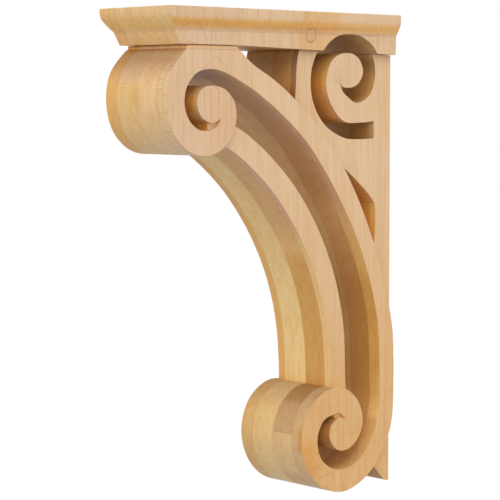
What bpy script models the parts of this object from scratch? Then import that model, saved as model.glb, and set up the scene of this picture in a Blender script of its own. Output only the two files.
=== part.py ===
"""Wooden corbel bracket: a carved openwork scroll under a moulded cap, plugged on both sides.

Sizes are millimetres. Drawings are (y, z) outlines on the side of the corbel: y runs back from the front
edge (negative) to the wall (0), z runs up from the bottom tip. x runs across. The origin is on the back
face, halfway up.
"""

import math

import bmesh
import bpy
import numpy as np

# Overall
WIDTH = 76.2
DEPTH = 228.6
HEIGHT = 355.6
MOUNT_HEIGHT = HEIGHT / 2
MM = 0.001

# Scroll strap and the narrower band and post set in from its sides
STRAP_WIDTH = 65.0
BAND_WIDTH = 54.6

# Cap
CAP_FRONT_THICKNESS = 25.4
CAP_BACK_THICKNESS = 29.6
CAP_SLOPE_START = -165.0
SIDE_MOULDING = [(0, 0), (3.1, 0), (6.2, 0.2), (8.4, 0.7), (10.4, 1.8), (12.4, 3.0), (14.2, 4.0), (16.4, 5.1)]
FRONT_MOULDING = [(0, 0), (3.1, 0), (6.2, 0.7), (8.4, 1.8), (10.4, 3.2), (12.4, 4.6), (14.2, 6.2), (16.4, 8.6)]
SIDE_FASCIA_FOOT = 5.3
FRONT_FASCIA_FOOT = 13.8

# Fits
GLUE_GAP = 0.3

# Plugs in the cap's sides
PLUG_DIAMETER = 9.5
PLUG_LENGTH = 9.0
PLUG_Y = -90.8
PLUG_BELOW_TOP = 17.2
PLUG_SIDES = 32

# How finely curves are drawn
STEP = 2.5

# The outlines below are drawn for this depth and height, and are stretched to the overall sizes above
DRAWN_DEPTH = 228.6
DRAWN_HEIGHT = 355.6

# Radii of the volutes are given at even turns
TURN_ANGLE = 30

# Top volute, about its eye
TOP_EYE = (-188.0, 290.0)
TOP_OUTER_ANGLE = 120
TOP_OUTER = [42.5, 41.5, 39.5, 39, 38, 36, 32.5, 27.5, 23, 17.5, 13.5, 12, 12, 12, 12, 12, 12.5, 13.5]
TOP_SLOT_ANGLE = -90
TOP_SLOT = [19, 21, 22.5, 23.5, 24, 24, 23.5, 25]

# Strap between the volutes, on the side of the open channel
CHANNEL = [(-160, 305.4), (-144, 297.6), (-118.9, 281.6), (-94.3, 261.8), (-74, 238.6), (-55.9, 213.4),
           (-41, 188.7), (-27.1, 156.7), (-18.6, 126), (-16.2, 98), (-16, 79.6)]

# Bottom volute, about its eye
BOTTOM_EYE = (-54.0, 43.0)
BOTTOM_SLOT_ANGLE = 30
BOTTOM_SLOT = [44, 33, 27.8, 26.3, 26, 27.3, 29, 28.6, 25.6, 19.5]
BOTTOM_INNER_ANGLE = 120
BOTTOM_INNER = [14.5, 16.5, 16, 14, 12.8, 12, 12.3, 14, 17.5, 22.5, 28, 34.5, 40, 43.8, 45, 44.2, 43.6, 43,
                42.2]
NOTCH = (-21.4, 14.6)

# Back of the strap, from the notch up and over to the underside of the cap
STRAP_BACK = [(-14.5, 22.6), (-5.8, 36.7), (-1.7, 50), (-0.5, 70), (-0.5, 98), (-2, 118.8), (-8, 143.5),
              (-22.9, 184.1), (-37.3, 213.4), (-55.2, 241.5), (-79, 269.5), (-106, 292.4), (-126.4, 306),
              (-149, 318)]
STRAP_TOP_Y = -163.9
NECK_Y = -207.5
NECK_FOOT = [(-207.6, 327.6), (-209.5, 326.4)]

# Front band, set in from the sides; its ends run inside the volutes
BAND_FRONT = [(-176, 262.5), (-162.5, 256.4), (-145, 245), (-123.4, 226.6), (-107, 208), (-93.6, 189),
              (-81, 165.7), (-72.3, 142.2), (-67.1, 118.9), (-65, 96), (-64.5, 84), (-64.5, 70)]
BAND_REAR = [(-47, 66), (-48, 82), (-48.6, 98), (-49.6, 118.5), (-54, 142), (-62.8, 169.2), (-77.2, 197.2),
             (-96, 223.4), (-115, 242.8), (-141.5, 263.5), (-158, 272.8), (-172, 277)]

# Post against the wall; its front runs inside the strap
POST_TOP_Y = -97.2
POST_FRONT = [(-99.4, 318.5), (-100.2, 305), (-101.2, 292)]
POST_IN_STRAP = [(-92, 272), (-67, 244), (-46, 212), (-28, 174), (-12, 128), (-9, 80), (-12, 42), (-22, 19)]
POST_TAIL = [(-20.5, 14.6), (-15.8, 12.2), (-11.8, 8), (-7.7, 3.6), (-3.7, 0.6), (0, 0)]

# Slit between the post and the strap: its wall side, and the side that runs inside the strap
SLIT_REAR = [(-19.6, 172), (-17.3, 184), (-16.1, 197), (-16.1, 207), (-17.6, 214.6), (-25.3, 223),
             (-36.7, 232.1), (-49.8, 241.4), (-60, 248)]
SLIT_IN_STRAP = [(-62, 243), (-45, 216), (-29, 180)]

# Curl slot through the post and up into the cap, about the curl's eye
CURL_EYE = (-50.0, 313.0)
CURL_MOUTH = [(-18, 276.2), (-18, 263.2), (-30, 262.6)]
CURL_OUTER_ANGLE = 270
CURL_OUTER = [49, 44, 39, 34.6, 31.3, 29, 27.5, 29, 32.3, 33.3, 32.4, 26.7, 16.5]
CURL_INNER_ANGLE = -90
CURL_INNER = [11.6, 13.6, 17.3, 20, 18.5, 15.6, 13.6, 13.8, 15.5, 17.5, 22, 28, 36.8, 43.6]

# Each slot's end runs on as a shallow carved tail: radii of its two sides, at even turns from root to tip
TAIL_DEPTH = 3.0
TOP_TAIL_ANGLE = -96
TOP_TAIL_TURN = 13.5
TOP_TAIL_OUTER = [18.4, 18.5, 17.6, 16.2, 14.2]
TOP_TAIL_INNER = [13.9, 13.8, 14.0, 14.4, 14.2]
BOTTOM_TAIL_ANGLE = 128
BOTTOM_TAIL_TURN = -13
BOTTOM_TAIL_OUTER = [19.6, 18.9, 16.6, 13.7, 10.6]
BOTTOM_TAIL_INNER = [15.5, 14.3, 13.0, 12.0, 10.6]
CURL_TAIL_ANGLE = -84
CURL_TAIL_TURN = -10
CURL_TAIL_OUTER = [17.6, 15.4, 12.8, 10.6, 8.8]
CURL_TAIL_INNER = [12.4, 11.3, 10.3, 9.5, 8.8]


def smooth(keys):
    """A rounded curve through the key points, cut into short even steps."""
    points = [np.array(key, float) for key in keys]
    points = [2 * points[0] - points[1]] + points + [2 * points[-1] - points[-2]]
    curve = [tuple(points[1])]
    for before, start, end, after in zip(points, points[1:], points[2:], points[3:]):
        spacing = [math.sqrt(np.linalg.norm(b - a)) for a, b in ((before, start), (start, end), (end, after))]
        first, middle, last = spacing
        leave = (start - before) / first - (end - before) / (first + middle) + (end - start) / middle
        arrive = (end - start) / middle - (after - start) / (middle + last) + (after - end) / last
        count = max(1, math.ceil(np.linalg.norm(end - start) / STEP))
        for i in range(1, count + 1):
            t = i / count
            point = (
                start * (2 * t**3 - 3 * t**2 + 1)
                + leave * middle * (t**3 - 2 * t**2 + t)
                + end * (3 * t**2 - 2 * t**3)
                + arrive * middle * (t**3 - t**2)
            )
            curve.append(tuple(point))
    return curve


def spiral(centre, angle, radii, turn):
    """Points about a centre, one for each radius, at even turns."""
    turns = [math.radians(angle + turn * i) for i in range(len(radii))]
    return [(centre[0] + r * math.cos(t), centre[1] + r * math.sin(t)) for t, r in zip(turns, radii)]


def cap_underside(y):
    rise = (CAP_BACK_THICKNESS - CAP_FRONT_THICKNESS) * min(1, (y - CAP_SLOPE_START) / -CAP_SLOPE_START)
    return HEIGHT - CAP_FRONT_THICKNESS - max(0, rise)


def stretched(outline):
    """A drawn outline at the corbel's real depth and height."""
    return [(y * DEPTH / DRAWN_DEPTH, z * HEIGHT / DRAWN_HEIGHT) for y, z in outline]


def body_top(y):
    """The drawn point at which the body meets the cap's underside."""
    return y, (cap_underside(y * DEPTH / DRAWN_DEPTH) - GLUE_GAP) * DRAWN_HEIGHT / HEIGHT


def tidy_loop(outline):
    """The outline without points that lie on top of the one before."""
    kept = []
    for point in outline:
        if not kept or math.dist(point, kept[-1]) > 0.2:
            kept.append(point)
    if math.dist(kept[0], kept[-1]) < 0.2:
        kept.pop()
    return kept


def add_mesh(name, vertices, faces):
    mesh = bpy.data.meshes.new(name)
    mesh.from_pydata([(x * MM, y * MM, (z - MOUNT_HEIGHT) * MM) for x, y, z in vertices], [], faces)
    shape = bmesh.new()
    shape.from_mesh(mesh)
    bmesh.ops.recalc_face_normals(shape, faces=shape.faces)
    shape.to_mesh(mesh)
    shape.free()
    solid = bpy.data.objects.new(name, mesh)
    bpy.context.scene.collection.objects.link(solid)
    return solid


def prism(name, outline, x_from, x_to):
    """The outline pushed across from x_from to x_to."""
    loop = tidy_loop(outline)
    count = len(loop)
    vertices = [(x, y, z) for x in (x_from, x_to) for y, z in loop]
    faces = [list(range(count)), list(range(count, 2 * count))]
    faces += [[i, (i + 1) % count, count + (i + 1) % count, count + i] for i in range(count)]
    return add_mesh(name, vertices, faces)


def drawn_prism(name, outline, width):
    """A stretched outline pushed across, centred on the corbel."""
    return prism(name, stretched(outline), -width / 2, width / 2)


def boolean(target, operation, other):
    """Applies one Boolean and removes the other solid."""
    modifier = target.modifiers.new(operation.lower(), "BOOLEAN")
    modifier.operation = operation
    modifier.solver = "EXACT"
    modifier.object = other
    other.hide_render = True
    other.display_type = "WIRE"
    graph = bpy.context.evaluated_depsgraph_get()
    result = bpy.data.meshes.new_from_object(target.evaluated_get(graph))
    target.modifiers.clear()
    target.data = result
    bpy.data.objects.remove(other, do_unlink=True)


def strap_outline():
    """The big C: top volute, strap and bottom volute as one closed outline."""
    outer = smooth(NECK_FOOT + spiral(TOP_EYE, TOP_OUTER_ANGLE, TOP_OUTER, TURN_ANGLE))
    top_slot = spiral(TOP_EYE, TOP_SLOT_ANGLE, TOP_SLOT, -TURN_ANGLE)
    bottom_slot = spiral(BOTTOM_EYE, BOTTOM_SLOT_ANGLE, BOTTOM_SLOT, -TURN_ANGLE)
    inner = smooth(top_slot + CHANNEL + bottom_slot)
    scroll = smooth(spiral(BOTTOM_EYE, BOTTOM_INNER_ANGLE, BOTTOM_INNER, TURN_ANGLE) + [NOTCH])
    back = smooth([NOTCH] + STRAP_BACK + [body_top(STRAP_TOP_Y)])
    return [body_top(NECK_Y)] + outer + inner + scroll + back


def curl_rise():
    """The outer side of the curl slot, from its mouth up over the arch and round under the eye."""
    return CURL_MOUTH[2:] + spiral(CURL_EYE, CURL_OUTER_ANGLE, CURL_OUTER, -TURN_ANGLE)


def curl_outline():
    """The curl slot: in at the mouth, up and round to its end, and back along the inner side."""
    fall = spiral(CURL_EYE, CURL_INNER_ANGLE, CURL_INNER, TURN_ANGLE)
    return CURL_MOUTH[:2] + smooth(curl_rise()) + smooth(fall)


def tail_outline(eye, angle, turn, outer, inner):
    """The comma that carries on from the end of a slot."""
    return smooth(spiral(eye, angle, outer, turn)) + smooth(spiral(eye, angle, inner, turn))[::-1]


def cut_on_both_sides(body, width, outline):
    """The same shallow cut in the left and the right face."""
    for side in (-1, 1):
        near, far = side * (width / 2 - TAIL_DEPTH), side * (width / 2 + 1)
        boolean(body, "DIFFERENCE", prism("tail_cutter", stretched(outline), near, far))


def build_post():
    """The post against the wall, with the slit and the curl slot cut through it."""
    front = smooth([body_top(POST_TOP_Y)] + POST_FRONT)
    post = drawn_prism("post", front + POST_IN_STRAP + smooth(POST_TAIL) + [body_top(0)], BAND_WIDTH)
    boolean(post, "DIFFERENCE", drawn_prism("slit_cutter", smooth(SLIT_REAR) + SLIT_IN_STRAP, 2 * BAND_WIDTH))
    boolean(post, "DIFFERENCE", drawn_prism("curl_cutter", curl_outline(), 2 * BAND_WIDTH))
    tail = tail_outline(CURL_EYE, CURL_TAIL_ANGLE, CURL_TAIL_TURN, CURL_TAIL_OUTER, CURL_TAIL_INNER)
    cut_on_both_sides(post, BAND_WIDTH, tail)
    return post


def build_scroll_body():
    """Strap and volutes, with the narrower band and post joined in."""
    body = drawn_prism("scroll_body", strap_outline(), STRAP_WIDTH)
    tail = tail_outline(TOP_EYE, TOP_TAIL_ANGLE, TOP_TAIL_TURN, TOP_TAIL_OUTER, TOP_TAIL_INNER)
    cut_on_both_sides(body, STRAP_WIDTH, tail)
    tail = tail_outline(BOTTOM_EYE, BOTTOM_TAIL_ANGLE, BOTTOM_TAIL_TURN, BOTTOM_TAIL_OUTER, BOTTOM_TAIL_INNER)
    cut_on_both_sides(body, STRAP_WIDTH, tail)
    boolean(body, "UNION", drawn_prism("band", smooth(BAND_FRONT) + smooth(BAND_REAR), BAND_WIDTH))
    boolean(body, "UNION", build_post())
    return body


def add_cap_blank(name):
    """The moulded board: one ring of corners for each level of the profile."""
    foot = (CAP_FRONT_THICKNESS, SIDE_FASCIA_FOOT), (CAP_FRONT_THICKNESS, FRONT_FASCIA_FOOT)
    vertices = []
    for (depth, side), (_, front) in zip(SIDE_MOULDING + [foot[0]], FRONT_MOULDING + [foot[1]]):
        x = WIDTH / 2 - side
        back_depth = CAP_BACK_THICKNESS if depth == CAP_FRONT_THICKNESS else depth
        ring = [(-x, 0, back_depth), (-x, CAP_SLOPE_START, depth), (-x, front - DEPTH, depth)]
        ring += [(-across, y, below) for across, y, below in reversed(ring)]
        vertices += [(across, y, HEIGHT - below) for across, y, below in ring]
    levels = len(vertices) // 6
    last = 6 * (levels - 1)
    top = [[5, 4, 1, 0], [4, 3, 2, 1]]
    faces = top + [[last + corner for corner in face] for face in top]
    for level in range(levels - 1):
        for i in range(6):
            upper, beside = 6 * level + i, 6 * level + (i + 1) % 6
            faces.append([upper, beside, beside + 6, upper + 6])
    return add_mesh(name, vertices, faces)


def add_dowel(name, side, diameter, length):
    """A round pin lying across, its inner end `length` inside the fascia."""
    fascia = WIDTH / 2 - SIDE_FASCIA_FOOT
    near, far = side * (fascia - length), side * (WIDTH / 2 + 2)
    corners = [
        (PLUG_Y + diameter / 2 * math.cos(turn), HEIGHT - PLUG_BELOW_TOP + diameter / 2 * math.sin(turn))
        for turn in np.arange(PLUG_SIDES) * math.tau / PLUG_SIDES
    ]
    return prism(name, corners, near, far)


def build_cap():
    cap = add_cap_blank("cap")
    boolean(cap, "DIFFERENCE", drawn_prism("arch_cutter", smooth(curl_rise()), 2 * WIDTH))
    for side in (-1, 1):
        hole = add_dowel("hole_cutter", side, PLUG_DIAMETER + 2 * GLUE_GAP, PLUG_LENGTH + GLUE_GAP)
        boolean(cap, "DIFFERENCE", hole)
    return cap


def build_plug(name, side):
    """A round plug trimmed flush with the moulding."""
    plug = add_dowel(name, side, PLUG_DIAMETER, PLUG_LENGTH)
    boolean(plug, "INTERSECT", add_cap_blank("trim"))
    return plug


def finish(solid, colour, roughness, sharp_angle):
    material = bpy.data.materials.new(solid.name + "_wood")
    material.use_nodes = True
    shader = material.node_tree.nodes["Principled BSDF"]
    shader.inputs["Base Color"].default_value = (*colour, 1)
    shader.inputs["Roughness"].default_value = roughness
    shader.inputs["Metallic"].default_value = 0
    solid.data.materials.clear()
    solid.data.materials.append(material)
    for face in solid.data.polygons:
        face.material_index = 0
    solid.data.shade_smooth()
    solid.data.set_sharp_from_angle(angle=math.radians(sharp_angle))


def main():
    for old in list(bpy.data.objects):
        bpy.data.objects.remove(old, do_unlink=True)
    finish(build_scroll_body(), (0.66, 0.45, 0.26), 0.55, 30)
    finish(build_cap(), (0.62, 0.40, 0.21), 0.55, 12)
    finish(build_plug("plug_right", 1), (0.55, 0.33, 0.16), 0.5, 30)
    finish(build_plug("plug_left", -1), (0.55, 0.33, 0.16), 0.5, 30)


main()
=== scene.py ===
"""Wooden corbel bracket: the looks of its scroll, cap and plugs, and the stage it stands on."""

import math
from collections import namedtuple

import bpy
from bpy.props import FloatProperty, FloatVectorProperty, IntProperty, PointerProperty
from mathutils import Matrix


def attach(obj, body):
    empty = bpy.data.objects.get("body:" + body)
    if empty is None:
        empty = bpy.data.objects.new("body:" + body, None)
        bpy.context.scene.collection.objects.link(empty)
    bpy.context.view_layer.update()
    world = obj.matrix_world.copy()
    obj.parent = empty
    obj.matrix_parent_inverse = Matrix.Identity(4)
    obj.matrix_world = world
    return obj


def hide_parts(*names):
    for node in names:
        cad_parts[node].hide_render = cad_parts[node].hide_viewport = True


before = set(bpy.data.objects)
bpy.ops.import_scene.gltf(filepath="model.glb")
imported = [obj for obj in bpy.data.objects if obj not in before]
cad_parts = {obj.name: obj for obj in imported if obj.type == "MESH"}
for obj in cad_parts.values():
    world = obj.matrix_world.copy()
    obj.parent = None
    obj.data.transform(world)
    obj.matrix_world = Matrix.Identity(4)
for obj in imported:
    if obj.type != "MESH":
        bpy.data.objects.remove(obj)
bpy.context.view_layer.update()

bl_info = {
    "name": "Corbel Bracket",
    "version": (1, 0, 0),
    "blender": (4, 5, 0),
    "location": "View3D > Sidebar > Corbel",
    "description": "Finishes a carved corbel bracket and sets up its studio",
    "category": "Object",
}


# Shader nodes

# Sockets by number: a mix node's factor and two colours, and outputs of several nodes
MIX_SOCKETS = (0, 6, 7)
MIXED_COLOUR = 2
OBJECT_PLACE = 3
WORLD_DIRECTION = 0
SURFACE_NORMAL = 1
OPENNESS = 1
SEEN_BY_CAMERA = 0


class Socket:
    """One output of a node, which can be used in sums."""

    def __init__(self, nodes, link):
        self.nodes = nodes
        self.link = link

    def _math(self, operation, *values, clamp=False):
        settings = {"operation": operation, "use_clamp": clamp}
        return self.nodes.add("ShaderNodeMath", settings, *values)

    def __add__(self, other):
        return self._math("ADD", self, other)

    def __radd__(self, other):
        return self._math("ADD", other, self)

    def __sub__(self, other):
        return self._math("SUBTRACT", self, other)

    def __rsub__(self, other):
        return self._math("SUBTRACT", other, self)

    def __mul__(self, other):
        return self._math("MULTIPLY", self, other)

    def __rmul__(self, other):
        return self._math("MULTIPLY", other, self)

    def __truediv__(self, other):
        return self._math("DIVIDE", self, other)

    def __pow__(self, other):
        return self._math("POWER", self, other)

    def __abs__(self):
        return self._math("ABSOLUTE", self)

    def __gt__(self, other):
        return self._math("GREATER_THAN", self, other)

    def __lt__(self, other):
        return self._math("LESS_THAN", self, other)

    def limited(self):
        """The value kept between 0 and 1."""
        return self._math("ADD", self, 0.0, clamp=True)


class Nodes:
    """The node tree of one material."""

    def __init__(self, name):
        self.material = bpy.data.materials.new(name)
        self.material.use_nodes = True
        self.tree = self.material.node_tree
        self.shader = self.tree.nodes["Principled BSDF"]

    @classmethod
    def of_tree(cls, tree):
        """The same tools for a tree that is no material's."""
        nodes = cls.__new__(cls)
        nodes.tree = tree
        return nodes

    def add(self, kind, settings, *values, output=0, **named):
        """A node with its settings and the values or links of its sockets; gives one output."""
        node = self.tree.nodes.new(kind)
        for key, value in settings.items():
            if key == "stops":
                self.set_stops(node.color_ramp, value)
            else:
                setattr(node, key, value)
        for place, value in enumerate(values):
            self.feed(node.inputs[place], value)
        for key, value in named.items():
            self.feed(node.inputs[key], value)
        return Socket(self, node.outputs[output])

    def feed(self, socket, value):
        if isinstance(value, Socket):
            self.tree.links.new(value.link, socket)
        elif value is not None:
            socket.default_value = value

    @staticmethod
    def set_stops(ramp, stops):
        while len(ramp.elements) < len(stops):
            ramp.elements.new(1.0)
        for element, (place, colour) in zip(ramp.elements, stops):
            element.position = place
            element.color = colour

    def mix(self, factor, one, other, blend="MIX"):
        """Two colours mixed by a factor."""
        settings = {"data_type": "RGBA", "blend_type": blend}
        node = self.add("ShaderNodeMix", settings, output=MIXED_COLOUR)
        for socket, value in zip(MIX_SOCKETS, (factor, one, other)):
            self.feed(node.link.node.inputs[socket], value)
        return node

    def vector(self, x, y, z):
        return self.add("ShaderNodeCombineXYZ", {}, x, y, z)

    def split(self, vector):
        first = self.add("ShaderNodeSeparateXYZ", {}, vector)
        outputs = first.link.node.outputs
        return [Socket(self, outputs[axis]) for axis in range(3)]

    def noise(self, vector, scale, detail=2.0, roughness=0.5, distortion=0.0):
        settings = {"noise_dimensions": "3D"}
        return self.add("ShaderNodeTexNoise", settings, Vector=vector, Scale=scale,
                        Detail=detail, Roughness=roughness, Distortion=distortion)


def rgba(colour):
    return (*colour, 1.0)


def pick(nodes, tones, edges, place):
    """Steps from one tone to the next as the place passes each edge."""
    result = tones[0]
    for edge, tone in zip(edges, tones[1:]):
        result = rgba(result) if isinstance(result, tuple) else result
        result = nodes.mix(place > edge, result, rgba(tone))
    return result


def growing(value, start, gain):
    """0 up to the start, then rising to 1 with the gain."""
    return ((value - start) * gain).limited()


def line_at(place, centre, width):
    """1 on a narrow line, 0 off it."""
    return abs(place - centre) < width / 2


def within(place, limits):
    """1 between two limits, 0 outside them."""
    low, high = limits
    return (place > low) * (place < high)


def soft_within(place, limits):
    """1 between two limits, falling to 0 at them over the third value's length."""
    low, high, fade = limits
    return (((high - low) / 2 - abs(place - (low + high) / 2)) / fade).limited()


# A mark in the wood: how often it repeats in a metre along x, y and z, the axis that takes up
# the boards' shift, the noise's detail, roughness and distortion, and where in the noise the
# mark starts to show and how fast it grows from there
Mark = namedtuple("Mark", "repeats shifted detail roughness distortion start gain",
                  defaults=(2.0, 0.5, 0.0, 0.5, 1.0))
DRIFT = Mark((6.0, 6.0, 2.2), "x")
LEAN = Mark((2.0, 3.0, 7.0), "y", detail=1.0)
PRESENCE = Mark((30.0, 30.0, 5.0), "y", start=0.42, gain=3.6)
BROAD = Mark((34.0, 34.0, 5.0), "x", start=0.40, gain=2.4)
STREAK = Mark((260.0, 260.0, 6.0), "x", detail=3.0, roughness=0.55, start=0.45, gain=2.6)
HAIR = Mark((620.0, 620.0, 14.0), "y", roughness=0.6, start=0.52, gain=5.0)
FIBRE = Mark((1500.0, 1500.0, 60.0), "y", roughness=0.6, start=0.50, gain=2.0)
CLOUD = Mark((22.0, 22.0, 16.0), "x", detail=3.0, start=0.35, gain=1.6)
SMUDGE = Mark((150.0, 110.0, 85.0), "y", detail=5.0, roughness=0.62, distortion=0.6,
              start=0.46, gain=4.0)
FLECK = Mark((110.0, 160.0, 950.0), "y", roughness=0.6, start=0.50, gain=5.0)

# How a growth ring darkens from its pale early wood to its late wood, as grey values
RING_PROFILE = ((0.0, 0.0), (0.6, 0.06), (0.92, 0.5), (0.975, 1.0), (1.0, 0.0))

# How far each board and each plank of the outer board moves on in the log
BOARD_SHIFT = 0.37
PLANK_SHIFT = 0.53

# The pith that the rings go round: its place, lean and wander, and how oval the rings are
PITH_X = 0.045
PITH_SLOPE = 0.07
PITH_STEP = 0.11
PITH_WANDER_X = 0.016
PITH_WANDER_Y = 0.012
RING_OVAL = 0.55

# The waves in the arches' lines, in a metre, their depth and the lines' sharpness
ARCH_WAVES = (30.0, 70.0, 45.0)
ARCH_WAVE_DEPTH = 0.22
ARCH_SHARPNESS = 7.0

# Widths of a seam and of a check, in glue lines
SEAM_WIDTH = 2.0
CHECK_WIDTH = 1.6

# How strongly marks show: fibres, smudges on the sides and more at their foot, cross flecks
# and more on curly wood
FIBRE_SHARE = 0.3
SIDE_SMUDGES = 0.25
FOOT_SMUDGES = 0.5
CROSS_FLECKS = 0.12
CURL_FLECKS = 0.8

# Where a face starts to count as a side, an upward face (cut end grain, darkened partly as painted
# shade) or a ledge, and how fast it becomes one
SIDE_TURN = (0.45, 2.5)
END_GRAIN_AND_SHADE_TURN = (0.25, 1.6)
LEDGE_TURN = (0.2, 1.6)
UPRIGHT_GAIN = 1.25

# Painted shade in recesses: rays that find how open a point is, the openness below which the shade
# starts, and how fast it deepens
OPENNESS_SAMPLES = 12
OPENNESS_LIMIT = 0.68
RECESS_SHADE_GAIN = 2.2
# Roughness, gloss and bumps of the finish
ROUGHNESS = 0.50
GLOSS = 0.32
BUMP_STRENGTH = 0.16
BUMP_HEIGHT = 0.0003


class Surface:
    """Where a point of the wood lies, which way it faces and which board it is on."""

    def __init__(self, nodes, plan, seed):
        self.nodes = nodes
        place = nodes.add("ShaderNodeTexCoord", {}, output=OBJECT_PLACE)
        self.x, self.y, self.z = nodes.split(place)
        normal = nodes.add("ShaderNodeNewGeometry", {}, output=SURFACE_NORMAL)
        sideways, _, self.upward = nodes.split(normal)
        self.side = growing(abs(sideways), *SIDE_TURN)
        self.shaped = 1.0 - self.side

        # Each board starts from another place in the log
        step = sum_of(self.x > edge for edge in BOARD_EDGES)
        plank = sum_of(self.y > edge for edge in plan["edges"])
        self.outer = (self.x > BOARD_EDGES[-1]) * self.side
        self.shift = step * BOARD_SHIFT + plank * self.outer * PLANK_SHIFT + seed

    def noise(self, mark):
        """The noise of a mark, drawn out along the fibres."""
        x, y, z = (value * often for value, often in zip((self.x, self.y, self.z), mark.repeats))
        if mark.shifted == "x":
            x = x + self.shift
        else:
            y = y + self.shift
        vector = self.nodes.vector(x, y, z)
        return self.nodes.noise(vector, 1.0, mark.detail, mark.roughness, mark.distortion)

    def shown(self, mark):
        """How strongly a mark shows."""
        return growing(self.noise(mark), mark.start, mark.gain)

    def inside(self, patch):
        """1 in a box given by its limits on each axis."""
        return within(self.x, patch["x"]) * within(self.y, patch["y"]) * within(self.z, patch["z"])


def sum_of(values):
    first, *others = values
    for value in others:
        first = first + value
    return first


def board_tones(at, look, plan, low):
    """The bare tone of boards, planks and patches, with the stains and the painted light and shade
    on them.
    """
    nodes = at.nodes
    tone = pick(nodes, plan["across"], BOARD_EDGES, at.x)
    for patch in plan["patches"]:
        tone = nodes.mix(at.inside(patch), tone, rgba(patch["tone"]))
    tone = nodes.mix(at.side, tone, pick(nodes, plan["along"], plan["edges"], at.y))
    tone = nodes.mix(low * at.side, tone, rgba(look.foot), "MULTIPLY")
    # Stains, painted shade and painted light, each a soft tint
    for stain_and_painted_light in plan["stains_and_painted_light"]:
        spread = at.side if stain_and_painted_light["faces"] == "side" else at.shaped
        for value, axis in ((at.x, "x"), (at.y, "y"), (at.z, "z")):
            if axis in stain_and_painted_light:
                spread = spread * soft_within(value, stain_and_painted_light[axis])
        tone = nodes.mix(spread, tone, rgba(stain_and_painted_light["tint"]), "MULTIPLY")
    return tone


def growth_rings(at, look):
    """Rings about an upright pith that wanders a little, strong in some places only."""
    nodes = at.nodes
    drift = at.noise(DRIFT) - 0.5
    lean = at.noise(LEAN) - 0.5
    ring_x = at.x + PITH_X + at.z * PITH_SLOPE + drift * PITH_WANDER_X
    ring_y = at.y + at.shift * PITH_STEP + lean * PITH_WANDER_Y
    radius = (ring_x * ring_x + ring_y * ring_y * RING_OVAL) ** 0.5
    turn = nodes.add("ShaderNodeMath", {"operation": "FRACT"}, radius * look.ring_count)
    stops = [(place, rgba((grey, grey, grey))) for place, grey in RING_PROFILE]
    ring = nodes.add("ShaderNodeValToRGB", {"stops": stops}, turn)
    return ring * at.shown(PRESENCE)


def arch_marks(at, arch):
    """Pointed growth rings, as where a board is cut along a leaning trunk."""
    nodes = at.nodes
    across = (at.y - arch["y"]) / arch["wide"]
    height = (at.z - arch["z"]) / arch["tall"]
    above = nodes.add("ShaderNodeMath", {"operation": "MAXIMUM"}, height, 0.0)
    waves = (value * often for value, often in zip((at.x, at.y, at.z), ARCH_WAVES))
    wave = nodes.noise(nodes.vector(*waves), 1.0, 3.0) - 0.5
    reach = (across * across + above * above) ** 0.5 + wave * ARCH_WAVE_DEPTH
    turn = nodes.add("ShaderNodeMath", {"operation": "FRACT"}, reach * arch["count"])
    line = (1.0 - abs(turn - 0.5) * ARCH_SHARPNESS).limited()
    return line * ((1.0 - reach) * 3.0).limited() * (1.0 + height * 0.8).limited()


def glue_marks(at, look, plan):
    """Glue lines between boards, planks and patches, hairlines, seams and checks."""
    width = look.glue_line
    glue = sum_of(line_at(at.x, edge, width) for edge in BOARD_EDGES) * at.shaped
    for edge in plan["edges"]:
        glue = glue + line_at(at.y, edge, width) * at.outer
    for patch in plan["patches"]:
        for height in patch["z"]:
            on_patch = within(at.x, patch["x"]) * within(at.y, patch["y"]) * at.shaped
            glue = glue + line_at(at.z, height, width) * on_patch
    for hairline in plan["hairlines"]:
        glue = glue + line_at(at.x, hairline, width) * at.shaped
    for seam in plan["seams"]:
        line = line_at(at.z, seam["z"], width * SEAM_WIDTH)
        glue = glue + line * within(at.y, seam["y"]) * at.shaped
    for check in plan["checks"]:
        line = line_at(at.y, check["y"], width * CHECK_WIDTH)
        glue = glue + line * within(at.z, check["z"]) * at.side
    return glue.limited()


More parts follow.
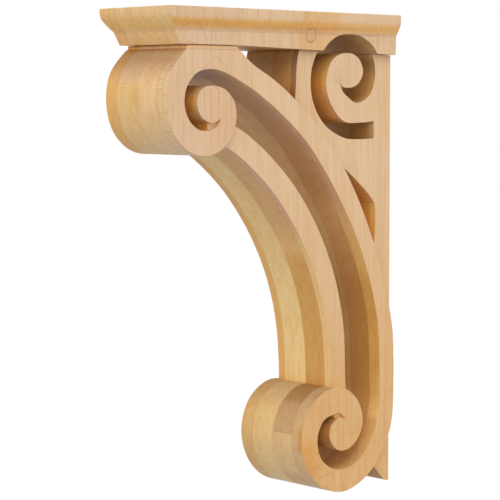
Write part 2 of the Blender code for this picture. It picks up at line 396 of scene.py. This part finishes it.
def add_wood(name, look, plan, seed=0.0):
    """Bare maple with upright fibres, in boards side by side."""
    nodes = Nodes(name)
    at = Surface(nodes, plan, seed)
    low = ((look.foot_top - at.z) / look.foot_height).limited()
    ring = growth_rings(at, look)
    streak = at.noise(STREAK)
    fibre = at.noise(FIBRE)
    glue = glue_marks(at, look, plan)

    def tinted(wood, factor, tint):
        return nodes.mix(factor, wood, rgba(tint), "MULTIPLY")

    # Clouds, streaks, hair lines, rings and fibres along the grain
    wood = board_tones(at, look, plan, low)
    wood = tinted(wood, at.shown(CLOUD) * look.cloudiness, look.warm)
    wood = tinted(wood, at.shown(BROAD) * look.streakiness, look.honey)
    wood = tinted(wood, at.shown(STREAK) * look.streakiness, look.streak)
    wood = tinted(wood, at.shown(HAIR) * look.hair_depth, look.hair)
    wood = tinted(wood, ring * look.ring_depth, look.ring)
    wood = tinted(wood, at.shown(FIBRE) * FIBRE_SHARE, look.streak)

    # Golden smudges, least on the upper sides, and cross flecks, most on the curly board's front
    share = at.shaped * (1.0 - SIDE_SMUDGES) + SIDE_SMUDGES + low * at.side * FOOT_SMUDGES
    wood = tinted(wood, at.shown(SMUDGE) * share * look.smudge_depth, look.smudge)
    curly = (at.x > BOARD_EDGES[-1]) * at.shaped * within(at.y, plan["curl"])
    share = curly * CURL_FLECKS + CROSS_FLECKS
    wood = tinted(wood, at.shown(FLECK) * share, look.fleck)
    for arch in plan["arches"]:
        wood = tinted(wood, arch_marks(at, arch) * at.side * look.ring_depth, look.ring)

    # Painted shade in slots and coves, deepest where the wood is least open: golden brown on
    # upright walls, grey on the ledges in them
    settings = {"samples": OPENNESS_SAMPLES, "only_local": True}
    openness = nodes.add("ShaderNodeAmbientOcclusion", settings, output=OPENNESS,
                         Distance=look.recess_shade_reach)
    shade_in_recess = ((OPENNESS_LIMIT - openness) * RECESS_SHADE_GAIN).limited() * at.shaped
    upright = (UPRIGHT_GAIN - abs(at.upward) * UPRIGHT_GAIN).limited()
    wood = tinted(wood, shade_in_recess * upright, look.recess_shade)
    wood = tinted(wood, shade_in_recess * growing(at.upward, *LEDGE_TURN), look.ledge_shade)

    # Faces that look up darken: partly end grain drinking in the finish, partly painted shade
    end = growing(at.upward, *END_GRAIN_AND_SHADE_TURN) * at.shaped
    wood = tinted(wood, end * look.end_grain_and_shade_depth, look.end)
    wood = tinted(wood, glue * look.glue_depth, look.line)
    nodes.feed(nodes.shader.inputs["Base Color"], wood)

    # Streaks, cut ends and rings are a little rougher
    rough = ROUGHNESS + (streak - 0.5) * 0.12 + end * 0.10 + ring * 0.04
    nodes.feed(nodes.shader.inputs["Roughness"], rough.limited())
    nodes.shader.inputs["Specular IOR Level"].default_value = GLOSS

    # Fibres and streaks stand up a little; rings and glue lines lie lower
    height = fibre * 0.5 + streak * 0.6 - ring * 0.5 - glue * 1.2
    bump = nodes.add("ShaderNodeBump", {}, Strength=BUMP_STRENGTH, Distance=BUMP_HEIGHT,
                     Height=height)
    nodes.feed(nodes.shader.inputs["Normal"], bump)
    return nodes.material


# Modelling

# How near points join and how flat a face stays, then the turns, in degrees, over which edges
# are eased and surfaces look smooth
MERGE_DISTANCE = 0.00001
FLAT_TURN = math.radians(0.4)
SMOOTH_TURN = 32.0
CAP_EASE_TURN = 50.0
CAP_SMOOTH_TURN = 22.0
PLUG_EDGE = 0.0002
PLUG_EASE_TURN = 50.0
PLUG_SEED = 0.71


def deselect():
    if bpy.context.object and bpy.context.object.mode != "OBJECT":
        bpy.ops.object.mode_set(mode="OBJECT")
    bpy.ops.object.select_all(action="DESELECT")


def make_active(piece):
    deselect()
    piece.select_set(True)
    bpy.context.view_layer.objects.active = piece


def copy_solid(node, name):
    """A copy of a CAD node with its loose triangles joined into whole faces."""
    make_active(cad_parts[node])
    bpy.ops.object.duplicate()
    piece = bpy.context.active_object
    piece.name = name
    piece.data.name = name
    bpy.ops.object.mode_set(mode="EDIT")
    bpy.ops.mesh.select_all(action="SELECT")
    bpy.ops.mesh.remove_doubles(threshold=MERGE_DISTANCE)
    bpy.ops.mesh.dissolve_limited(angle_limit=FLAT_TURN)
    bpy.ops.object.mode_set(mode="OBJECT")
    return piece


def ease_edges(piece, width, segments, turn, smooth):
    """Takes the sharpness off every edge that turns by more than the given angle."""
    make_active(piece)
    bevel = piece.modifiers.new("eased_edges", "BEVEL")
    bevel.limit_method = "ANGLE"
    bevel.angle_limit = math.radians(turn)
    bevel.width = width
    bevel.segments = segments
    bevel.use_clamp_overlap = True
    bevel.miter_outer = "MITER_SHARP"
    bpy.ops.object.modifier_apply(modifier=bevel.name)
    bpy.ops.object.shade_smooth_by_angle(angle=math.radians(smooth))


def place_piece(piece, node, material):
    """The piece stands for its CAD node and carries its material."""
    piece.data.materials.clear()
    piece.data.materials.append(material)
    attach(piece, "root")
    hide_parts(node)


# Sizes and colours that a user would change

class WoodLook(bpy.types.PropertyGroup):
    """The maple's colours and figure, and the colours of its painted shade."""

    glue_line: FloatProperty(
        name="Glue line", description="Width of a glue line", default=0.00025, unit="LENGTH")
    glue_depth: FloatProperty(
        name="Glue depth", description="How strongly glue lines show", default=0.6)
    ring_count: FloatProperty(
        name="Rings per metre", description="Growth rings in a metre", default=210.0)
    ring_depth: FloatProperty(
        name="Ring depth", description="How strongly rings show", default=0.5)
    cloudiness: FloatProperty(name="Clouding", description="How much the tone drifts", default=0.4)
    streakiness: FloatProperty(
        name="Streaks", description="How strongly fibres show", default=0.45)
    hair_depth: FloatProperty(
        name="Hair lines", description="How strongly fine dark lines show", default=0.5)
    smudge_depth: FloatProperty(
        name="Smudges", description="How strongly golden smudges show", default=0.45)
    # How much upward faces darken, partly end grain and partly painted shade
    end_grain_and_shade_depth: FloatProperty(
        name="End grain", description="How much cut ends darken", default=0.45)
    foot_top: FloatProperty(
        name="Foot tint top", description="Height below which the sides grow more golden",
        default=0.06, unit="LENGTH")
    foot_height: FloatProperty(
        name="Foot tint fade", description="Height over which the golden tint comes in",
        default=0.18, unit="LENGTH")
    # Painted shade in recesses: how far from a corner it reaches
    recess_shade_reach: FloatProperty(
        name="Pooling reach", description="How far from a corner the finish has pooled",
        default=0.025, unit="LENGTH")
    foot: FloatVectorProperty(
        name="Foot", description="Tint of the foot's sides", subtype="COLOR",
        default=(0.94, 0.81, 0.57))
    # Colour of the painted shade on upright walls in recesses
    recess_shade: FloatVectorProperty(
        name="Pooled", description="Tint where the finish has pooled", subtype="COLOR",
        default=(0.97, 0.68, 0.25))
    warm: FloatVectorProperty(
        name="Warm", description="Tint of the drifting tone", subtype="COLOR",
        default=(0.90, 0.76, 0.58))
    honey: FloatVectorProperty(
        name="Honey", description="Tint of broad streaks", subtype="COLOR",
        default=(0.94, 0.82, 0.64))
    streak: FloatVectorProperty(
        name="Streak", description="Tint of fine streaks", subtype="COLOR",
        default=(0.90, 0.77, 0.60))
    hair: FloatVectorProperty(
        name="Hair", description="Tint of fine dark lines", subtype="COLOR",
        default=(0.84, 0.70, 0.52))
    smudge: FloatVectorProperty(
        name="Smudge", description="Tint of golden smudges", subtype="COLOR",
        default=(0.90, 0.74, 0.48))
    fleck: FloatVectorProperty(
        name="Fleck", description="Tint of cross flecks", subtype="COLOR",
        default=(0.86, 0.74, 0.55))
    ring: FloatVectorProperty(
        name="Ring", description="Tint of the growth rings", subtype="COLOR",
        default=(0.86, 0.68, 0.48))
    # Colour of upward faces: partly end grain, partly painted shade
    end: FloatVectorProperty(
        name="End", description="Tint of cut ends", subtype="COLOR", default=(0.70, 0.60, 0.50))
    # Colour of the painted shade on ledges in recesses
    ledge_shade: FloatVectorProperty(
        name="Dull", description="Tint of ledges in recesses", subtype="COLOR",
        default=(0.80, 0.72, 0.68))
    line: FloatVectorProperty(
        name="Line", description="Tint of glue lines and checks", subtype="COLOR",
        default=(0.62, 0.42, 0.26))


class EdgeSizes(bpy.types.PropertyGroup):
    """How far the arrises are eased."""

    width: FloatProperty(
        name="Width", description="Width of an eased edge", default=0.0006, unit="LENGTH")
    turn: FloatProperty(
        name="Turn", description="Edges that turn more than this are eased, in degrees",
        default=40.0)
    segments: IntProperty(name="Segments", description="Faces across an eased edge", default=1)


class StageSizes(bpy.types.PropertyGroup):
    """The camera, lights and floor."""

    azimuth: FloatProperty(
        name="Azimuth", description="Camera's turn about the bracket, in degrees", default=46.925)
    focus: FloatProperty(name="Lens", description="Lens over sensor width", default=3.6503)
    tilt: FloatProperty(
        name="Tilt", description="How far the camera looks down, in degrees", default=3.814)
    shift: FloatProperty(name="Shift", description="Camera's vertical shift", default=-0.06)
    camera_place: FloatVectorProperty(
        name="Camera", description="Camera's place", subtype="XYZ",
        default=(0.96972, -1.02690, 0.11550))
    floor_drop: FloatProperty(
        name="Floor", description="Floor's height", default=-1.1, unit="LENGTH")
    key_strength: FloatProperty(name="Key", description="Key light's strength", default=0.7)
    key_softness: FloatProperty(
        name="Softness", description="Key light's width, in degrees", default=50.0)
    key_from: FloatVectorProperty(
        name="Key from", description="Direction that the key light comes from", subtype="XYZ",
        default=(0.62, -0.52, 0.59))
    tent_dark: FloatProperty(
        name="Tent, far side", description="Tent's light opposite the key", default=0.42)
    cool: FloatVectorProperty(
        name="Cool", description="Colour of the light from below", subtype="COLOR",
        default=(0.97, 1.0, 1.16))
    tent_bright: FloatProperty(
        name="Tent, key side", description="Light added towards the key", default=1.0)


# The plans of the boards: "across" has the tones of the boards from left to right, "along" those
# of the outer board's planks from front to back, whose joints "edges" gives. Patches are other
# lengths of wood let in end to end, soft tints are stains or painted light and shade, arches are
# growth rings, checks are fine cracks, and seams and hairlines are joints. Lengths are in metres.

BOARD_EDGES = (-0.0205, 0.002, 0.0218)
LEFT_BOARD = (-0.0400, BOARD_EDGES[0])
SECOND_BOARD = BOARD_EDGES[:2]
THIRD_BOARD = BOARD_EDGES[1:]
RIGHT_BOARD = (BOARD_EDGES[2], 0.0400)
HARD = 0.0001
CRISP = 0.0003
SIDE_TONES = ((0.68, 0.475, 0.30), (0.70, 0.50, 0.31), (0.70, 0.50, 0.31))
TOP_BARREL = (-0.24, -0.18)
TOP_JOINT = 0.1257
FOOT_BARREL = (-0.11, -0.0652)
FOOT_UNDERSIDE = (-0.0652, -0.03)
FOOT_TOP = -0.0925
FOOT_JOINT = -0.1308
UNDERSIDE_TOP = -0.166
BOTTOM = -0.2
SLIT_SEAM = 0.0368
SLIT_WALL = (-0.036, -0.010)
CAP_JOINT = -0.1016
COVE = (0.1618, 0.1718, 0.0035)
NOWHERE = (-1.0, -0.9)


def patch(x, y, z, tone):
    return {"x": x, "y": y, "z": z, "tone": tone}


def stain_and_painted_light(faces, tint, **limits):
    """A tint on the side or the shaped faces, standing for a stain or for painted light or shade;
    each axis has its limits and their fade.
    """
    return {"faces": faces, "tint": tint, **limits}


SCROLL_PLAN = {
    "across": ((0.72, 0.42, 0.135), (0.80, 0.57, 0.25), (0.73, 0.455, 0.17),
               (0.77, 0.525, 0.225)),
    "along": SIDE_TONES,
    "edges": (-0.165, -0.099),
    "curl": TOP_BARREL,
    "hairlines": (),
    "patches": (
        patch(SECOND_BOARD, TOP_BARREL, (TOP_JOINT, 0.2), (0.72, 0.51, 0.27)),
        patch(SECOND_BOARD, TOP_BARREL, (0.0, TOP_JOINT), (0.755, 0.52, 0.235)),
        patch(THIRD_BOARD, TOP_BARREL, (0.0, 0.2), (0.77, 0.545, 0.285)),
        patch(RIGHT_BOARD, TOP_BARREL, (0.0, 0.2), (0.755, 0.54, 0.30)),
        # The foot volute's barrel, then its underside
        patch(LEFT_BOARD, FOOT_BARREL, (BOTTOM, FOOT_TOP), (0.64, 0.41, 0.16)),
        patch(SECOND_BOARD, FOOT_BARREL, (BOTTOM, FOOT_TOP), (0.70, 0.49, 0.22)),
        patch(THIRD_BOARD, FOOT_BARREL, (FOOT_JOINT, FOOT_TOP), (0.53, 0.34, 0.162)),
        patch(THIRD_BOARD, FOOT_BARREL, (BOTTOM, FOOT_JOINT), (0.67, 0.465, 0.23)),
        patch(RIGHT_BOARD, FOOT_BARREL, (BOTTOM, FOOT_TOP), (0.60, 0.405, 0.20)),
        patch(LEFT_BOARD, FOOT_UNDERSIDE, (BOTTOM, UNDERSIDE_TOP), (0.64, 0.41, 0.16)),
        patch(SECOND_BOARD, FOOT_UNDERSIDE, (BOTTOM, UNDERSIDE_TOP), (0.70, 0.49, 0.22)),
        patch(THIRD_BOARD, FOOT_UNDERSIDE, (BOTTOM, UNDERSIDE_TOP), (0.67, 0.465, 0.23)),
        patch(RIGHT_BOARD, FOOT_UNDERSIDE, (BOTTOM, UNDERSIDE_TOP), (0.60, 0.405, 0.20)),
    ),
    "stains_and_painted_light": (
        # The neck and the joint under the cap, in painted light and shade: on the sides a painted
        # shadow line at the joint, a golden strip of painted light on the neck and a thin painted
        # shadow line under it; painted shade on the barrel under the cap; painted light on the
        # neck's front strip
        stain_and_painted_light("side", (0.44, 0.31, 0.18), z=(0.1513, 0.1530, CRISP)),
        stain_and_painted_light("side", (1.0, 0.91, 0.76), z=(0.1496, 0.1517, CRISP)),
        stain_and_painted_light("side", (0.82, 0.68, 0.48), z=(0.1488, 0.1496, CRISP)),
        stain_and_painted_light("shaped", (0.72, 0.68, 0.72), z=(0.1260, 0.1580, 0.015)),
        stain_and_painted_light("shaped", (1.55, 1.50, 1.40), y=(-0.24, -0.19, 0.002), z=(0.1490, 0.1512, CRISP)),
        # Painted shade on the channel's wall, and the two lengths of the slit's wall
        stain_and_painted_light("shaped", (0.70, 0.58, 0.40), y=(-0.050, -0.004, 0.004), z=(-0.14, 0.022, 0.05)),
        stain_and_painted_light("shaped", (1.15, 1.02, 0.84), y=(*SLIT_WALL, CRISP), z=(SLIT_SEAM, 0.060, CRISP)),
        stain_and_painted_light("shaped", (1.12, 1.16, 1.05), y=(*SLIT_WALL, CRISP), z=(0.0005, SLIT_SEAM, CRISP)),
        stain_and_painted_light("shaped", (0.84, 0.74, 0.52), x=(*THIRD_BOARD, HARD), y=(-0.09, -0.055, 0.004),
              z=(-0.2, 0.03, 0.05)),
        # The channel's outer board is paler low down, with painted light near the open side, and
        # duller high up, with painted shade
        stain_and_painted_light("shaped", (1.26, 1.26, 1.12), x=(*RIGHT_BOARD, HARD), y=(-0.0245, -0.002, 0.001),
              z=(-0.13, -0.015, 0.005)),
        stain_and_painted_light("shaped", (1.26, 1.26, 1.12), x=(*RIGHT_BOARD, HARD), y=(-0.062, -0.0235, 0.001),
              z=(-0.15, 0.04, 0.05)),
        stain_and_painted_light("shaped", (0.95, 0.88, 1.12), x=(*RIGHT_BOARD, HARD), y=(-0.185, -0.040, 0.020),
              z=(0.01, 0.135, 0.03)),
        # Painted shade on the foot barrel's top, and a painted shadow on the tail under it
        stain_and_painted_light("shaped", (0.76, 0.78, 0.92), y=(*FOOT_BARREL, 0.002), z=(-0.116, -0.06, 0.026)),
        stain_and_painted_light("shaped", (0.54, 0.43, 0.34), y=(-0.030, -0.0004, 0.002), z=(-0.19, -0.160, 0.003)),
        # Painted shade on the curl's mouth and on the window's far wall under the cap; on the
        # curl's two upright walls, painted light towards the open side and painted shade under the
        # cap
        stain_and_painted_light("shaped", (0.76, 0.84, 1.20), y=(-0.025, -0.012, 0.003), z=(0.082, 0.100, 0.002)),
        stain_and_painted_light("shaped", (0.60, 0.54, 0.56), x=(*RIGHT_BOARD, HARD), y=(-0.110, -0.090, 0.002),
              z=(0.1135, 0.152, 0.002)),
        stain_and_painted_light("shaped", (1.24, 1.20, 0.98), x=(0.010, 0.040, 0.010), y=(-0.080, -0.052, 0.002),
              z=(0.095, 0.149, 0.006)),
        stain_and_painted_light("shaped", (0.82, 0.78, 0.75), y=(-0.036, -0.012, 0.004), z=(0.107, 0.149, 0.006)),
        # Painted shade on the channel's head, and a golden mark on the front barrel
        stain_and_painted_light("shaped", (0.88, 0.84, 0.90), x=(0.0, 0.0275, 0.0002), y=(-0.185, -0.055, 0.010),
              z=(0.004, 0.135, 0.02)),
        stain_and_painted_light("shaped", (0.95, 0.84, 0.60), x=(-0.009, 0.002, 0.004), y=(*TOP_BARREL, 0.001),
              z=(0.108, TOP_JOINT, 0.006)),
        # Golden marks beside and on the rim of the foot volute
        stain_and_painted_light("side", (0.99, 0.83, 0.55), y=(-0.115, -0.078, 0.012), z=(-0.175, -0.13, 0.012)),
        stain_and_painted_light("shaped", (0.95, 0.72, 0.40), x=(0.0265, 0.036, 0.004), y=(*FOOT_BARREL, 0.004),
              z=(-0.146, -0.122, 0.006)),
    ),
    "arches": (
        {"y": -0.1835, "z": 0.118, "wide": 0.022, "tall": 0.034, "count": 3.5},
        {"y": -0.074, "z": -0.175, "wide": 0.030, "tall": 0.036, "count": 4.0},
    ),
    "checks": ({"y": -0.0552, "z": (-0.1440, -0.1210)},),
    "seams": ({"z": SLIT_SEAM, "y": SLIT_WALL},),
}
CAP_PLAN = {
    "across": ((0.74, 0.47, 0.19), (0.78, 0.55, 0.27), (0.79, 0.56, 0.28), (0.78, 0.555, 0.29)),
    "along": SIDE_TONES,
    "edges": (-0.162, CAP_JOINT),
    "curl": NOWHERE,
    "hairlines": (-0.0162, -0.0129, -0.0085),
    "patches": (),
    "stains_and_painted_light": (
        # The cove on the sides, before and behind the joint, and the gold behind the joint
        stain_and_painted_light("side", (1.06, 0.83, 0.35), y=(-0.24, CAP_JOINT, CRISP), z=COVE),
        stain_and_painted_light("side", (1.12, 0.92, 0.52), y=(CAP_JOINT, 0.01, CRISP), z=COVE),
        stain_and_painted_light("side", (0.99, 0.89, 0.71), y=(-0.110, -0.058, 0.012), z=(0.14, 0.19, 0.004)),
        # Painted light on the front's fascia, a golden tint on its cove, and painted shade on the
        # cap's underside
        stain_and_painted_light("shaped", (1.16, 1.11, 1.0), z=(0.1500, 0.1612, 0.002)),
        stain_and_painted_light("shaped", (1.0, 0.93, 0.68), z=(0.1595, 0.1725, 0.004)),
        stain_and_painted_light("shaped", (0.72, 0.66, 0.62), y=(-0.090, -0.008, 0.004), z=(0.14, 0.172, 0.002)),
    ),
    "arches": ({"y": -0.206, "z": 0.135, "wide": 0.030, "tall": 0.050, "count": 4.0},),
    "checks": (),
    "seams": (),
}
PLUG_TONES = ((0.68, 0.44, 0.23),) * 4
PLUG_PLAN = {
    "across": PLUG_TONES,
    "along": PLUG_TONES[:3],
    "edges": (-0.3, -0.29),
    "curl": NOWHERE,
    **{marks: () for marks in ("hairlines", "patches", "stains_and_painted_light", "arches", "checks", "seams")},
}


class CORBEL_OT_scroll(bpy.types.Operator):
    """Finish the scroll: strap, volutes, band and post"""

    bl_idname = "corbel.scroll"
    bl_label = "Finish scroll"

    def execute(self, context):
        wood = add_wood("scroll_maple", context.scene.corbel_wood, SCROLL_PLAN)
        piece = copy_solid("scroll_body", "scroll")
        edges = context.scene.corbel_edges
        ease_edges(piece, edges.width, edges.segments, edges.turn, SMOOTH_TURN)
        place_piece(piece, "scroll_body", wood)
        return {"FINISHED"}


class CORBEL_OT_cap(bpy.types.Operator):
    """Finish the moulded cap"""

    bl_idname = "corbel.cap"
    bl_label = "Finish cap"

    def execute(self, context):
        wood = add_wood("cap_maple", context.scene.corbel_wood, CAP_PLAN)
        piece = copy_solid("cap", "cap_board")
        edges = context.scene.corbel_edges
        ease_edges(piece, edges.width, edges.segments, CAP_EASE_TURN, CAP_SMOOTH_TURN)
        place_piece(piece, "cap", wood)
        return {"FINISHED"}


class CORBEL_OT_plugs(bpy.types.Operator):
    """Finish the round plugs in the cap's sides"""

    bl_idname = "corbel.plugs"
    bl_label = "Finish plugs"

    def execute(self, context):
        wood = add_wood("plug_maple", context.scene.corbel_wood, PLUG_PLAN, PLUG_SEED)
        for node, name in (("plug_right", "right_plug"), ("plug_left", "left_plug")):
            piece = copy_solid(node, name)
            ease_edges(piece, PLUG_EDGE, 1, PLUG_EASE_TURN, SMOOTH_TURN)
            place_piece(piece, node, wood)
        return {"FINISHED"}


# The stage

KEY_COLOUR = (1.0, 0.985, 0.96)
WHITE = (1.0, 1.0, 1.0, 1.0)
FLOOR_SIZE = 60.0
FLOOR_COLOUR = (0.96, 0.96, 0.96, 1.0)
FLOOR_ROUGHNESS = 0.9
BELOW_GAIN = -1.5
SENSOR_WIDTH = 36.0
FARTHEST_VIEW = 200.0


def add_key_light(sizes):
    """A broad soft light from above on the right."""
    light = bpy.data.lights.new("key", "SUN")
    light.energy = sizes.key_strength
    light.angle = math.radians(sizes.key_softness)
    light.color = KEY_COLOUR
    key = bpy.data.objects.new("key", light)
    bpy.context.scene.collection.objects.link(key)
    x, y, z = sizes.key_from
    key.rotation_euler = (math.atan2(math.hypot(x, y), z), 0.0, math.atan2(y, x) + math.pi / 2)


def add_studio_light(sizes):
    """A white tent, brighter on the key light's side."""
    world = bpy.data.worlds.new("studio")
    world.use_nodes = True
    nodes = Nodes.of_tree(world.node_tree)
    direction = nodes.add("ShaderNodeTexCoord", {}, output=WORLD_DIRECTION)
    x, y, z = nodes.split(direction)
    key_x, key_y, key_z = sizes.key_from
    towards = (x * key_x + y * key_y + z * key_z) * 0.5 + 0.5
    strength = sizes.tent_dark + towards * towards * sizes.tent_bright
    seen = nodes.add("ShaderNodeLightPath", {}, output=SEEN_BY_CAMERA)
    background = world.node_tree.nodes["Background"]
    from_below = (z * BELOW_GAIN).limited() * (1.0 - seen)
    nodes.feed(background.inputs["Color"], nodes.mix(from_below, WHITE, rgba(sizes.cool)))
    nodes.feed(background.inputs["Strength"], seen + (1.0 - seen) * strength)
    bpy.context.scene.world = world


class CORBEL_OT_stage(bpy.types.Operator):
    """Set up the floor, the lights and the camera"""

    bl_idname = "corbel.stage"
    bl_label = "Set up stage"

    def execute(self, context):
        sizes = context.scene.corbel_stage
        deselect()
        place = (0.0, 0.0, sizes.floor_drop)
        bpy.ops.mesh.primitive_plane_add(size=FLOOR_SIZE, location=place)
        floor = context.active_object
        floor.name = "floor"
        floor.visible_diffuse = False
        paint = Nodes("floor_paint")
        paint.shader.inputs["Base Color"].default_value = FLOOR_COLOUR
        paint.shader.inputs["Roughness"].default_value = FLOOR_ROUGHNESS
        floor.data.materials.append(paint.material)

        add_studio_light(sizes)
        add_key_light(sizes)
        context.scene.view_settings.view_transform = "Standard"

        lens = bpy.data.cameras.new("camera")
        lens.sensor_width = SENSOR_WIDTH
        lens.lens = sizes.focus * lens.sensor_width
        lens.shift_y = sizes.shift
        lens.clip_end = FARTHEST_VIEW
        camera = bpy.data.objects.new("camera", lens)
        context.scene.collection.objects.link(camera)
        camera.location = sizes.camera_place
        looks_down = math.radians(90.0 - sizes.tilt)
        camera.rotation_euler = (looks_down, 0.0, math.radians(sizes.azimuth))
        context.scene.camera = camera
        return {"FINISHED"}


class CORBEL_PT_panel(bpy.types.Panel):
    """Lists the bracket's steps"""

    bl_idname = "CORBEL_PT_panel"
    bl_label = "Corbel bracket"
    bl_space_type = "VIEW_3D"
    bl_region_type = "UI"
    bl_category = "Corbel"

    def draw(self, context):
        for name in ("corbel_wood", "corbel_edges", "corbel_stage"):
            group = getattr(context.scene, name)
            box = self.layout.box()
            for key in group.bl_rna.properties.keys():
                if key not in {"rna_type", "name"}:
                    box.prop(group, key)
        for step in STEPS:
            self.layout.operator(step.bl_idname)


GROUPS = {"corbel_wood": WoodLook, "corbel_edges": EdgeSizes, "corbel_stage": StageSizes}
STEPS = (CORBEL_OT_scroll, CORBEL_OT_cap, CORBEL_OT_plugs, CORBEL_OT_stage)


def register():
    for kind in (*GROUPS.values(), *STEPS, CORBEL_PT_panel):
        bpy.utils.register_class(kind)
    for name, kind in GROUPS.items():
        setattr(bpy.types.Scene, name, PointerProperty(type=kind))


def unregister():
    for name in GROUPS:
        delattr(bpy.types.Scene, name)
    for kind in (CORBEL_PT_panel, *reversed(STEPS), *GROUPS.values()):
        bpy.utils.unregister_class(kind)


def main():
    register()
    bpy.ops.corbel.scroll()
    bpy.ops.corbel.cap()
    bpy.ops.corbel.plugs()
    bpy.ops.corbel.stage()


if __name__ == "__main__":
    main()
